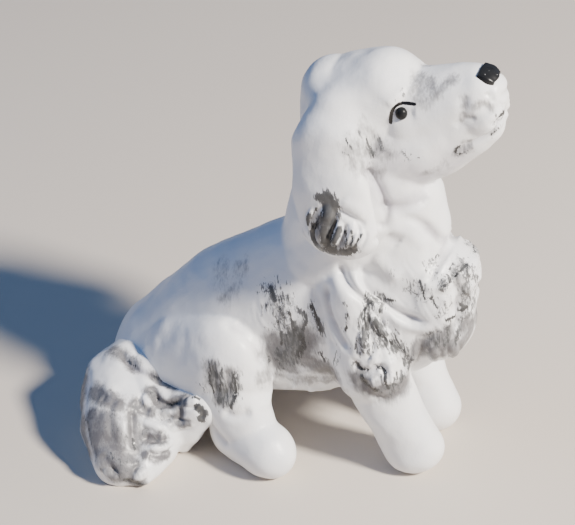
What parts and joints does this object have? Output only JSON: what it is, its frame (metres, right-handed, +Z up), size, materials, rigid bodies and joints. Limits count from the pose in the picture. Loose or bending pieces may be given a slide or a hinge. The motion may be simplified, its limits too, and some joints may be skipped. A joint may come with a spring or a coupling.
{
  "type": "painted miniature dog figure",
  "caption": "Small painted figure of a sitting long-eared spaniel, head raised and tail curled round one haunch, cast in pegged pieces for standing on a table or a game board.",
  "frame": {"origin": "centre of the bounding box's footprint, on the plane that the soles and the tail rest on", "axes": "+X the way the dog faces, +Y its left side, +Z up"},
  "size_m": [0.0475, 0.0345, 0.0511],
  "materials": {
    "body_paint": "satin white paint with streaky grey dry-brushing on the flank, elbow, chest and knee",
    "ear_paint": "satin white paint, thick semi-gloss dark grey on the tip",
    "tail_paint": "satin white paint with broad smeared grey patches",
    "nose_black": "semi-gloss black enamel",
    "eye_black": "gloss black enamel"
  },
  "bodies": {
    "root": {"torso": "body_paint", "head": "body_paint", "foreleg_right": "body_paint", "foreleg_left": "body_paint", "hind_leg_right": "body_paint", "hind_leg_left": "body_paint", "ear_right": "ear_paint", "ear_left": "ear_paint", "tail": "tail_paint", "nose": "nose_black", "eye_right": "eye_black", "eye_left": "eye_black"}
  },
  "joints": []
}
